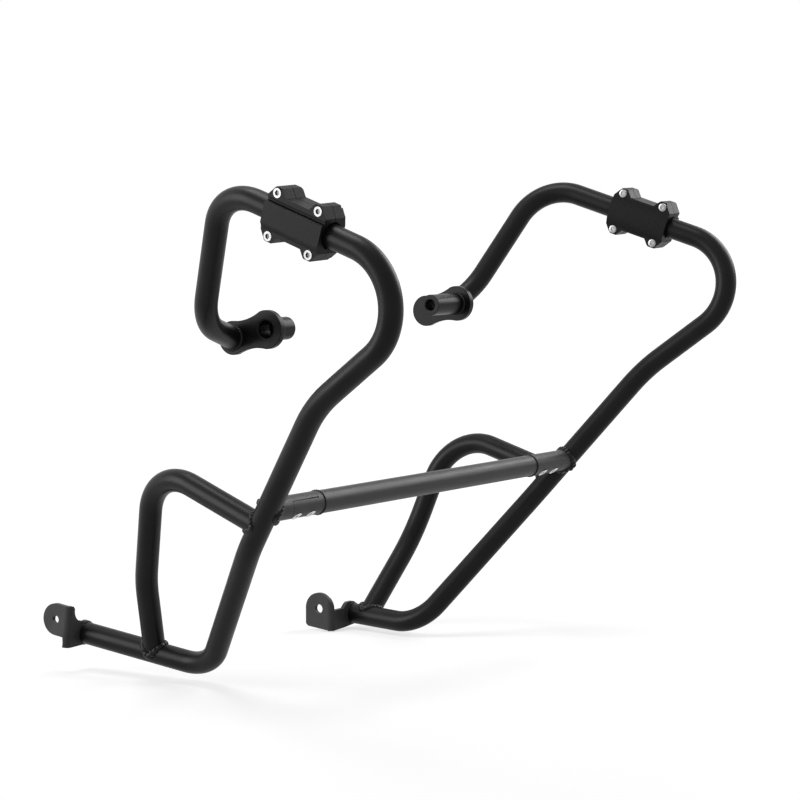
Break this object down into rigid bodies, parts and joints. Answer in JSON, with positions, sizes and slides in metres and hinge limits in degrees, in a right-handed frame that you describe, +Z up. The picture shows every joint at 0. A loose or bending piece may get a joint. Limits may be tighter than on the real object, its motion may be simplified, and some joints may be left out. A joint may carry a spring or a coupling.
{
  "type": "motorcycle crash bars",
  "caption": "Pair of bent tubular engine guards for a motorcycle, joined by a bolted cross tube, with a clamp-on protector block on each upper run.",
  "frame": {"origin": "centre of the bolt hole in the right lower bracket's lug", "axes": "+X to the bike's left, -Y forward, +Z up"},
  "size_m": [0.7493, 0.556, 0.5471],
  "materials": {
    "tube": "satin powder coat with a fine grain",
    "joint": "satin powder coat",
    "bracket": "satin powder coat",
    "block": "black anodised, finely blasted",
    "screw": "bright stainless"
  },
  "bodies": {
    "root": {"right_main_tube": "tube", "right_loop_tube": "tube", "right_mount_plate": "bracket", "right_spacer": "bracket", "right_lower_bracket": "bracket", "right_joint_socket": "joint", "right_joint_tongue": "joint", "right_joint_screws": "screw", "right_block_outer": "block", "right_block_inner": "block", "right_block_screws": "screw", "right_block_nuts": "screw", "left_main_tube": "tube", "left_loop_tube": "tube", "left_mount_plate": "bracket", "left_spacer": "bracket", "left_lower_bracket": "bracket", "left_joint_socket": "joint", "left_joint_tongue": "joint", "left_joint_screws": "screw", "left_block_outer": "block", "left_block_inner": "block", "left_block_screws": "screw", "left_block_nuts": "screw", "cross_tube": "tube"}
  },
  "joints": []
}
